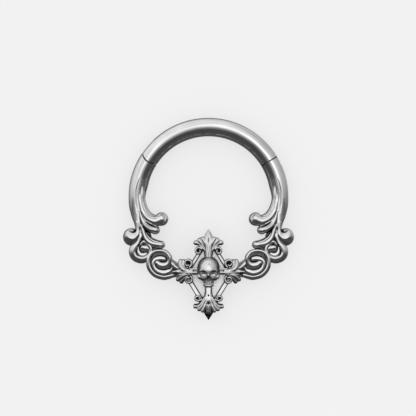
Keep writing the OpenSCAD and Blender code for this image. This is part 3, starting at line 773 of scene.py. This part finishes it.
def skull_clay(h):
    n = int(round(13.5 / h))
    c = Clay((-n * h, -93, 8), (0, -54, 33), h)
    c.ball((0, -69.8, 16.5), (11.1, 11.9, 12.6), 0.5)
    c.ball((0, -72.6, 17.0), (9.2, 12.6, 13.4), 4.0)
    # brows, cheeks, upper jaw and its row of teeth
    c.rod((-2.0, -71.8, 28.3), (-7.4, -72.0, 25.6), 1.5, 1.4, 1.2)
    c.rod((-9.3, -73.0, 21.0), (-8.8, -78.2, 21.6), 2.2, 2.0, 1.4)
    c.rod((-8.6, -78.3, 21.6), (-6.0, -80.3, 22.4), 2.1, 1.9, 1.0)
    c.block((0, -81.4, 20.0), (5.0, 5.4, 6.4), 1.5, 0.8)
    c.rod((-4.1, -86.5, 24.0), (-1.8, -86.8, 25.6), 1.2, 1.3, 0.4)
    c.rod((-1.8, -86.8, 25.6), (0.0, -86.9, 25.9), 1.3, 1.3, 0.4)
    # eye sockets, temples
    c.ball((-5.5, -75.7, 28.4), (4.0, 4.1, 4.7), 0.5, cut=True)
    c.ball((-10.8, -75.6, 25.5), (1.2, 2.0, 3.0), 1.2, cut=True)
    # the nose bone comes forward as it goes down, over the nose's opening
    c.rod((0, -69.0, 28.4), (0, -76.4, 29.5), 1.5, 1.25, 0.8)
    c.ball((0, -80.2, 29.0), (1.9, 2.6, 3.4), 0.5, cut=True)
    c.ball((0, -78.2, 29.6), (1.1, 1.4, 3.4), 0.4, cut=True)
    c.rod((0, -79.4, 24.6), (0, -82.0, 25.6), 0.5, 0.6, 0.8)
    # teeth
    for i in range(3):
        c.line([[-0.9 - 1.6 * i, -82.4, 0.2], [-0.9 - 1.6 * i, -84.6, 1], [-0.85 - 1.4 * i, -86.0, 0.7]], 0.25, 0.35, 16)
    s, x, y, z = c.all_of()
    c.cut(s, (z - 10.0) + 0 * x + 0 * y, 0.4)
    whole = Clay((-n * h, -93, 8), (n * h, -54, 33), h)
    whole.f = np.concatenate([c.f, c.f[-2::-1]], 0)
    whole.dent((0.9, -65.2), (0.9, 0.8), 0.35, 22)
    return whole


def skull_patina_and_shade(x, y, z, normal, hollow):
    """Painted shade low down all round the head, on the lower sides of the face, under the lip and in the upper halves
    and rims of the sockets, with painted light on the socket floors and the lip's crest, where the dark is lifted; dark
    too in the nose, over the teeth, above the lip, on the cheeks beside the teeth and in the pit on the forehead.
    """
    # painted shade: the head is darker low down all round, less so toward its top, and the lower sides of the face are
    # dark
    limb_shade = 0.62 * step(z + 0.25 * np.clip(y + 70, 0, 20), 30.6, 23.5) * step(y, -80, -72)
    jaw_shade = 0.7 * step(z, 24.5, 20) * step(y, -72, -76) * step(y, -86.2, -85.4)
    out = np.hypot((np.abs(x) - 5.5) / 4.2, (y + 75.7) / 4.2)
    bowl = step(out, 1.1, 0.8)
    # painted light and shade in the sockets: the dark lifted off their lower halves and floors, painted onto their
    # upper halves and rims
    hollow = hollow * (1 - bowl * (0.25 + 0.65 * step(y, -73.8, -76.2)))
    limb_shade = limb_shade * (1 - bowl)
    hollow = np.maximum(hollow, 0.6 * bowl * step(y, -74.6, -73.0))
    rim = 0.45 * step(np.abs(out - 0.95), 0.3, 0.12) * np.maximum(step(y, -75.2, -73.8), step(np.abs(x), 5.0, 3.4))
    hollow = np.maximum(hollow, rim)
    nose = step(np.hypot(x / 1.9, (y + 79.6) / 2.9), 1.25, 0.9)
    hollow = np.maximum(hollow, 0.55 * nose)
    teeth = 0.16 + 0.38 * step(np.abs(x), 0.8, 3.4) * step(y, -85.6, -84.4)
    hollow = np.maximum(hollow, teeth * step(y, -80.5, -82) * step(y, -86.3, -85.9))
    hollow = np.maximum(hollow, 0.5 * step(np.abs(y + 85.5), 0.8, 0.3) * step(np.abs(x), 4.0, 2.4))
    hollow = np.maximum(hollow, 0.62 * step(y, -77.9, -80.1) * step(y, -84.4, -81.6) * step(np.abs(x), 1.8, 3.0))
    # painted highlight: the dark lifted off the lip's crest
    hollow = hollow * (1 - 0.9 * step(y, -85.9, -86.3) * step(y, -87.3, -86.9))
    # painted shade under the lip
    hollow = np.maximum(hollow, 0.75 * step(y, -86.9, -87.6))
    hollow = np.maximum(hollow, 0.55 * step(np.hypot(x - 0.9, y + 65.3), 1.3, 0.3))
    return np.maximum(hollow, np.maximum(limb_shade, jaw_shade))


# ---------------------------------------------------------------- the hinged segment, drawn exactly


def knuckle_angle(rho, reach):
    """How far round the ring a point at radius rho lies from the pin when it is reach away from it."""
    c = (rho * rho + R * R - reach * reach) / (2 * rho * R)
    return math.acos(max(-1.0, min(1.0, c)))


def segment_mesh():
    """The top of the hoop: a round wire, rounded about the pin at one end and square at the other, its edges softly broken."""
    around, per = ((112, 240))
    soft, m = 0.45, 5
    pts = []
    pin_gap = 0.80 * MM
    start = SEAM_ANGLE + 0.005 * MM / R
    for j in range(around):
        psi = 2 * math.pi * j / around
        rho = R + W * math.cos(psi)
        end = HINGE_ANGLE + knuckle_angle(rho, pin_gap)
        line = []
        # broken edge, body, broken edge: (share of the way, how much thinner)
        breaks = [soft * (1 - math.cos(math.pi / 2 * i / m)) for i in range(m + 1)]
        thin = [soft * (1 - math.sin(math.pi / 2 * i / m)) for i in range(m + 1)]
        for b, q in zip(breaks, thin):
            line.append((start + b / rho, q))
        for i in range(1, per):
            line.append((start + soft / rho + (end - start - 2 * soft / rho) * i / per, 0.0))
        for b, q in zip(breaks[::-1], thin[::-1]):
            line.append((end - b / rho, q))
        for a, q in line:
            rr = R + (W - q) * math.cos(psi)
            pts.append((rr * math.cos(a), rr * math.sin(a), W + (W - q) * math.sin(psi)))
        n = len(line)
    quads = []
    for j in range(around):
        j2 = (j + 1) % around
        for i in range(n - 1):
            quads.append((j * n + i, j * n + i + 1, j2 * n + i + 1, j2 * n + i))
    bm = bmesh.new()
    vs = [bm.verts.new(to_metres(np.array([p]))[0]) for p in pts]
    for q in quads:
        bm.faces.new([vs[i] for i in q])
    # end faces: strips between the points at one height, inside and outside
    for which in (0, n - 1):
        ring = [j * n + which for j in range(around)]
        half = around // 2
        steps = 8
        # the face is built across the wire: from psi to pi - psi at the same height
        quarter_n = around // 4
        previous = None
        for j in range(-quarter_n, quarter_n + 1):
            o, i2 = j % around, (half - j) % around
            po, pi_ = np.array(pts[ring[o]]), np.array(pts[ring[i2]])
            if j in (-quarter_n, quarter_n):
                line = [vs[ring[o]]] * (steps + 1)
            else:
                line = [vs[ring[o]]]
                for k in range(1, steps):
                    q = po + (pi_ - po) * k / steps
                    if which:  # on the knuckle's cylinder
                        cx, cy = R * math.cos(HINGE_ANGLE), R * math.sin(HINGE_ANGLE)
                        dx, dy = q[0] - cx, q[1] - cy
                        target = math.hypot(po[0] - cx, po[1] - cy) * (1 - k / steps) + math.hypot(pi_[0] - cx, pi_[1] - cy) * k / steps
                        f = target / math.hypot(dx, dy)
                        q = np.array([cx + dx * f, cy + dy * f, q[2]])
                    line.append(bm.verts.new(to_metres(np.array([q]))[0]))
                line.append(vs[ring[i2]])
            if previous:
                for k in range(steps):
                    corner = [previous[k], previous[k + 1], line[k + 1], line[k]]
                    unique = list(dict.fromkeys(corner))
                    if len(unique) > 2:
                        bm.faces.new(unique if which == 0 else unique[::-1])
            previous = line
    bmesh.ops.recalc_face_normals(bm, faces=bm.faces)
    me = bpy.data.meshes.new("segment_wire")
    bm.to_mesh(me)
    bm.free()
    o = bpy.data.objects.new("segment_wire", me)
    bpy.context.scene.collection.objects.link(o)
    return o


def place(angle):
    """Matrix of the local axes at a ring angle: X on along the ring, Y outward, Z up, origin on the wire's centre."""
    t = Vector((-math.sin(angle), math.cos(angle), 0))
    n = Vector((math.cos(angle), math.sin(angle), 0))
    m = Matrix.Identity(4)
    for i in range(3):
        m[i][0], m[i][1], m[i][2] = t[i], n[i], (0, 0, 1)[i]
    m[0][3], m[1][3], m[2][3] = RING_R * math.cos(angle), RING_R * math.sin(angle) + HOOP_Y, WIRE_R
    return m


def solid_from_outline(outline, z0, z1, m, name):
    """A prism over an outline in local millimetres, in the axes of m."""
    bm = bmesh.new()
    low = [bm.verts.new(m @ Vector((x * 1e-3, y * 1e-3, z0 * 1e-3))) for x, y in outline]
    high = [bm.verts.new(m @ Vector((x * 1e-3, y * 1e-3, z1 * 1e-3))) for x, y in outline]
    bm.faces.new(low)
    bm.faces.new(high[::-1])
    k = len(outline)
    for i in range(k):
        bm.faces.new([low[i], high[i], high[(i + 1) % k], low[(i + 1) % k]])
    bmesh.ops.recalc_face_normals(bm, faces=bm.faces)
    me = bpy.data.meshes.new(name)
    bm.to_mesh(me)
    bm.free()
    o = bpy.data.objects.new(name, me)
    bpy.context.scene.collection.objects.link(o)
    return o


def arc(cx, cy, r, a0, a1, n):
    return [(cx + r * math.cos(math.radians(a0 + (a1 - a0) * i / n)), cy + r * math.sin(math.radians(a0 + (a1 - a0) * i / n))) for i in range(n + 1)]


def boolean(o, tool, operation):
    mod = o.modifiers.new("b", "BOOLEAN")
    mod.operation, mod.object, mod.solver = operation, tool, "MANIFOLD"
    bpy.context.view_layer.update()
    dg = bpy.context.evaluated_depsgraph_get()
    me = bpy.data.meshes.new_from_object(o.evaluated_get(dg))
    o.modifiers.clear()
    old = o.data
    o.data = me
    bpy.data.meshes.remove(old)
    bpy.data.objects.remove(tool)


def shade_exact(o, sharp=35):
    """Smooth shading with the sharp edges kept, and the wire's own true normals."""
    me = o.data
    for p in me.polygons:
        p.use_smooth = True
    co = np.array([v.co for v in me.vertices], float)
    x, y, z = co[:, 0], co[:, 1] - HOOP_Y, co[:, 2]
    rho = np.hypot(x, y)
    q = np.stack([(rho - RING_R) * x / rho, (rho - RING_R) * y / rho, z - WIRE_R], 1)
    length = np.linalg.norm(q, axis=1)
    true = q / np.maximum(length, 1e-9)[:, None]
    on_wire = np.abs(length - WIRE_R) < 2e-6
    normals = []
    base = [Vector(v.normal) for v in me.vertices]
    limit = math.cos(math.radians(sharp))
    # corner normals: the wire's own where the face lies on it, or the mean of the faces that meet smoothly there
    around = {}
    for p in me.polygons:
        for v in p.vertices:
            around.setdefault(v, []).append((p.normal.copy(), p.area))
    for p in me.polygons:
        for v in p.vertices:
            if on_wire[v] and p.normal.dot(Vector(true[v])) > 0.96:
                normals.append(tuple(true[v]))
            else:
                m = Vector((0, 0, 0))
                for nn, area in around[v]:
                    if nn.dot(p.normal) > limit:
                        m += nn * area
                normals.append(tuple(m.normalized() if m.length > 0 else base[v]))
    me.normals_split_custom_set(normals)
    dark = np.maximum(hinge_patina(x / G, y / G, z / G), catch_patina(x / G, y / G, z / G))
    me.attributes.new("hollow", "FLOAT", "POINT").data.foreach_set("value", dark.astype(np.float32))
    me.attributes.new("edge", "FLOAT", "POINT").data.foreach_set("value", np.zeros(len(dark), np.float32))


def build_segment():
    o = segment_mesh()
    m = place(SEAM_ANGLE)
    # closing tongue, its outer edge flush with the wire
    out = [(0.3, -0.3), (0.3, 0.5)]
    for i in range(9):
        t = 0.3 - 0.8 * i / 8
        out.append((t, math.sqrt(5.19**2 - t * t) - 4.6 - (0.04 if i == 8 else 0.0)))
    out += [(-0.5, -0.26), (-0.46, -0.3)]
    boolean(o, solid_from_outline(out, -0.15, 0.15, m, "tongue"), "UNION")
    m = place(HINGE_ANGLE)
    slot = arc(0, 0, 0.5, 180, 270, 16) + [(1.6, -0.5), (1.6, 1.2), (-0.5, 1.2)]
    boolean(o, solid_from_outline(slot, -0.17, 0.17, m, "slot"), "DIFFERENCE")
    boolean(o, solid_from_outline(arc(0, 0, 0.205, 0, 352.5, 47), -0.7, 0.36, m, "bore"), "DIFFERENCE")
    shade_exact(o)
    return o


# ---------------------------------------------------------------- materials


def node_tree(name):
    m = bpy.data.materials.new(name)
    m.use_nodes = True
    t = m.node_tree
    t.nodes.clear()
    out = t.nodes.new("ShaderNodeOutputMaterial")
    bsdf = t.nodes.new("ShaderNodeBsdfPrincipled")
    t.links.new(bsdf.outputs[0], out.inputs[0])
    return m, t, bsdf


def math_node(t, op, a, b=None, c=None, clamp=False):
    n = t.nodes.new("ShaderNodeMath")
    n.operation, n.use_clamp = op, clamp
    for i, v in enumerate((a, b, c)):
        if v is None:
            continue
        if isinstance(v, (int, float)):
            n.inputs[i].default_value = v
        else:
            t.links.new(v, n.inputs[i])
    return n.outputs[0]


def noise(t, where, scale, detail=4, rough=0.55):
    n = t.nodes.new("ShaderNodeTexNoise")
    n.inputs["Scale"].default_value = scale
    n.inputs["Detail"].default_value = detail
    n.inputs["Roughness"].default_value = rough
    t.links.new(where, n.inputs["Vector"])
    return n.outputs["Fac"]


def span(t, v, a, b, c, d, smooth=True):
    n = t.nodes.new("ShaderNodeMapRange")
    n.interpolation_type = "SMOOTHSTEP" if smooth else "LINEAR"
    t.links.new(v, n.inputs["Value"])
    for key, x in zip(("From Min", "From Max", "To Min", "To Max"), (a, b, c, d)):
        n.inputs[key].default_value = x
    return n.outputs["Result"]


def steel(name, bright, rough, patina_and_shade=False, hairlines=0.5, streaks=0.0):
    """Steel: a bright reflector with faint hairlines and small pits; with patina_and_shade, it is dark and dull where
    its hollow attribute says, from the patina in its hollows and painted shade.
    Streaks are polishing marks that run round the hoop."""
    m, t, b = node_tree(name)
    b.inputs["Metallic"].default_value = 1.0
    co = t.nodes.new("ShaderNodeTexCoord").outputs["Object"]
    fine = noise(t, co, 9000, 3)
    broad = noise(t, co, 900, 4)
    tone = span(t, broad, 0.3, 0.7, 0.93, 1.05, False)
    grey = t.nodes.new("ShaderNodeCombineColor")
    value = math_node(t, "MULTIPLY", tone, bright)
    if streaks:
        at = t.nodes.new("ShaderNodeSeparateXYZ")
        t.links.new(co, at.inputs[0])
        px, py, pz = at.outputs
        py = math_node(t, "SUBTRACT", py, HOOP_Y)
        ring = math_node(t, "SQRT", math_node(t, "ADD", math_node(t, "MULTIPLY", px, px), math_node(t, "MULTIPLY", py, py)))
        turn = math_node(t, "ARCTAN2", px, py)
        wound = t.nodes.new("ShaderNodeCombineXYZ")
        t.links.new(math_node(t, "MULTIPLY", ring, 9000.0), wound.inputs[0])
        t.links.new(math_node(t, "MULTIPLY", turn, 1.6), wound.inputs[1])
        t.links.new(math_node(t, "MULTIPLY", pz, 9000.0), wound.inputs[2])
        mark = noise(t, wound.outputs[0], 1.0, 3, 0.6)
        upper = span(t, py, 0.2e-3, 1.2e-3, 0.0, 1.0)
        change = math_node(t, "MULTIPLY", math_node(t, "MULTIPLY", math_node(t, "SUBTRACT", mark, 0.5), streaks), upper)
        value = math_node(t, "MULTIPLY", value, math_node(t, "ADD", change, 1.0))
    rough_v = span(t, broad, 0.3, 0.7, rough * 0.8, rough * 1.25, False)
    # the attribute darkens and dulls the steel: patina in the hollows and painted shade; rubbed edges keep their shine
    if patina_and_shade:
        h = t.nodes.new("ShaderNodeAttribute")
        h.attribute_name = "hollow"
        e = t.nodes.new("ShaderNodeAttribute")
        e.attribute_name = "edge"
        hollow = math_node(t, "ADD", h.outputs["Fac"], math_node(t, "MULTIPLY", math_node(t, "SUBTRACT", fine, 0.5), 0.12))
        dark = span(t, hollow, 0.22, 0.62, 0.0, 1.0)
        keep = span(t, e.outputs["Fac"], 0.15, 0.6, 0.0, 0.35)
        dark = math_node(t, "SUBTRACT", dark, keep, clamp=True)
        value = math_node(t, "MULTIPLY", value, span(t, dark, 0, 1, 1.0, 0.2, False))
        value = math_node(t, "MULTIPLY", value, span(t, h.outputs["Fac"], 0.8, 1.0, 1.0, 0.3))
        rough_v = math_node(t, "ADD", rough_v, math_node(t, "MULTIPLY", dark, 0.3))
    for i in range(3):
        t.links.new(value, grey.inputs[i])
    t.links.new(grey.outputs[0], b.inputs["Base Color"])
    t.links.new(rough_v, b.inputs["Roughness"])
    # surface: tumbled waviness and fine pits
    wave = noise(t, co, 2600, 2)
    height = math_node(t, "ADD", math_node(t, "MULTIPLY", wave, 0.7), math_node(t, "MULTIPLY", fine, 0.3))
    bump = t.nodes.new("ShaderNodeBump")
    bump.inputs["Strength"].default_value = hairlines
    bump.inputs["Distance"].default_value = 4e-6
    t.links.new(height, bump.inputs["Height"])
    t.links.new(bump.outputs[0], b.inputs["Normal"])
    return m


def world():
    """A studio that is the same from every side of the ring: a bright half above it, a dark half below it."""
    w = bpy.data.worlds.new("studio")
    bpy.context.scene.world = w
    w.use_nodes = True
    t = w.node_tree
    t.nodes.clear()
    out = t.nodes.new("ShaderNodeOutputWorld")
    co = t.nodes.new("ShaderNodeTexCoord").outputs["Generated"]
    sep = t.nodes.new("ShaderNodeSeparateXYZ")
    t.links.new(co, sep.inputs[0])
    x, y, z = sep.outputs
    rho = math_node(t, "SQRT", math_node(t, "ADD", math_node(t, "MULTIPLY", x, x), math_node(t, "MULTIPLY", y, y)))
    alpha = math_node(t, "DIVIDE", math_node(t, "ARCTAN2", rho, z), math.pi)  # 0 overhead, 1 straight below
    up = math_node(t, "DIVIDE", y, math_node(t, "MAXIMUM", rho, 0.02))

    def ramp(stops):
        n = t.nodes.new("ShaderNodeValToRGB")
        n.color_ramp.interpolation = "EASE"
        while len(n.color_ramp.elements) < len(stops):
            n.color_ramp.elements.new(0.5)
        for e, (deg, v) in zip(n.color_ramp.elements, stops):
            e.position = deg / 180
            e.color = (v, v, v, 1)
        t.links.new(alpha, n.inputs[0])
        s = t.nodes.new("ShaderNodeSeparateColor")
        t.links.new(n.outputs[0], s.inputs[0])
        return s.outputs[0]

    # what the photo's wire shows, as light before the steel takes its share
    dark = ramp([(0, 0.40), (12, 0.20), (24, 0.080), (37, 0.045), (60, 0.050), (90, 0.057), (115, 0.066), (140, 0.07), (180, 0.07)])
    high = ramp([(0, 0.40), (12, 0.84), (24, 1.0), (37, 0.80), (50, 0.74), (64, 0.73), (78, 0.66), (95, 0.68), (112, 0.54), (130, 0.25), (150, 0.10), (180, 0.06)])
    level = ramp([(0, 0.46), (12, 0.98), (24, 1.06), (37, 0.73), (50, 0.55), (64, 0.49), (78, 0.42), (95, 0.37), (115, 0.40), (140, 0.38), (180, 0.20)])
    lit = t.nodes.new("ShaderNodeMix")
    lit.data_type = "FLOAT"
    right = math_node(t, "DIVIDE", x, math_node(t, "MAXIMUM", rho, 0.02))
    t.links.new(span(t, right, 0.7, 0.15, 0, 1), lit.inputs[0])
    t.links.new(level, lit.inputs[2])
    t.links.new(high, lit.inputs[3])
    both = t.nodes.new("ShaderNodeMix")
    both.data_type = "FLOAT"
    t.links.new(span(t, up, -0.35, 0.35, 0, 1), both.inputs[0])
    t.links.new(dark, both.inputs[2])
    t.links.new(lit.outputs[0], both.inputs[3])
    path = t.nodes.new("ShaderNodeLightPath")
    gloss = t.nodes.new("ShaderNodeBackground")
    t.links.new(both.outputs[0], gloss.inputs[0])
    gloss.inputs[1].default_value = 1.62
    plain = t.nodes.new("ShaderNodeBackground")
    plain.inputs[0].default_value = (1, 1, 1, 1)
    plain.inputs[1].default_value = 1.0
    mix = t.nodes.new("ShaderNodeMixShader")
    t.links.new(path.outputs["Is Glossy Ray"], mix.inputs[0])
    t.links.new(plain.outputs[0], mix.inputs[1])
    t.links.new(gloss.outputs[0], mix.inputs[2])
    back = t.nodes.new("ShaderNodeBackground")
    back.inputs[0].default_value = (0.888, 0.888, 0.888, 1)
    mix2 = t.nodes.new("ShaderNodeMixShader")
    t.links.new(path.outputs["Is Camera Ray"], mix2.inputs[0])
    t.links.new(mix.outputs[0], mix2.inputs[1])
    t.links.new(back.outputs[0], mix2.inputs[2])
    t.links.new(mix2.outputs[0], out.inputs[0])


# ---------------------------------------------------------------- camera, floor, pieces

scene = bpy.context.scene
scene.view_settings.view_transform = "Standard"
scene.view_settings.look = "None"
cam = bpy.data.cameras.new("camera")
cam_o = bpy.data.objects.new("camera", cam)
scene.collection.objects.link(cam_o)
scene.camera = cam_o
cam.sensor_width = 36
cam.lens = 150
view_w = 416 * G  # the photo's frame on the plane of the hoop
dist = view_w * cam.lens / cam.sensor_width
# the hoop's centre is at (208.5, 198.1) of the 416 pixels
cam_o.location = ((208 - 208.5) * G, HOOP_Y + (198.1 - 208) * G, WIRE_R + dist)
cam_o.rotation_euler = (0, 0, 0)
cam.clip_start, cam.clip_end = dist * 0.2, dist * 8

H_SIDE, H_MID, H_SKULL = ((0.36, 0.315, 0.19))
left = side_clay(H_SIDE)
right = left.twin()
hinge_end(left)
catch_end(right)
polished = steel("polished_steel", 0.62, 0.09, patina_and_shade=True, hairlines=0.2, streaks=0.9)
antique = steel("antiqued_steel", 0.60, 0.11, patina_and_shade=True, hairlines=0.4, streaks=0.9)
soft = steel("brushed_steel", 0.62, 0.24, patina_and_shade=True, hairlines=0.4)
matt = steel("satin_steel", 0.95, 0.42, patina_and_shade=True, hairlines=0.8)
matt.node_tree.nodes["Principled BSDF"].inputs["Metallic"].default_value = 0.1

made = [
    cast("scroll_side_left", left, False, left_patina_and_shade),
    cast("scroll_side_right", right, True, right_patina_and_shade),
    cast("cross", centre_clay(H_MID), False, centre_patina_and_shade, centre_satin),
    cast("skull", skull_clay(H_SKULL), False, skull_patina_and_shade, finish=soft),
]
for o in made:
    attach(o, "front")
    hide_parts("ornate_front")
segment = build_segment()
segment.data.materials.clear()
segment.data.materials.append(polished)
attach(segment, "segment")
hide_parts("hinged_segment")
pin = frame["nodes"]["hinge_pin"]
pin.data.materials.clear()
pin.data.materials.append(polished)

world()
floor_me = bpy.data.meshes.new("floor")
s = 2.0
floor_me.from_pydata([(-s, -s, 0), (s, -s, 0), (s, s, 0), (-s, s, 0)], [], [(0, 1, 2, 3)])
floor = bpy.data.objects.new("floor", floor_me)
scene.collection.objects.link(floor)
fm, ft, fb = node_tree("floor")
fb.inputs["Base Color"].default_value = (0.24, 0.24, 0.24, 1)
fb.inputs["Roughness"].default_value = 0.9
fb.inputs["Specular IOR Level"].default_value = 0.0
fb.inputs["Emission Color"].default_value = (1, 1, 1, 1)
fb.inputs["Emission Strength"].default_value = 0.65
clear = ft.nodes.new("ShaderNodeBsdfTransparent")
either = ft.nodes.new("ShaderNodeMixShader")
ft.links.new(ft.nodes.new("ShaderNodeNewGeometry").outputs["Backfacing"], either.inputs[0])
ft.links.new(fb.outputs[0], either.inputs[1])
ft.links.new(clear.outputs[0], either.inputs[2])
ft.links.new(either.outputs[0], ft.nodes["Material Output"].inputs[0])
floor_me.materials.append(fm)
floor.location.z = -1e-6
floor.visible_glossy = False
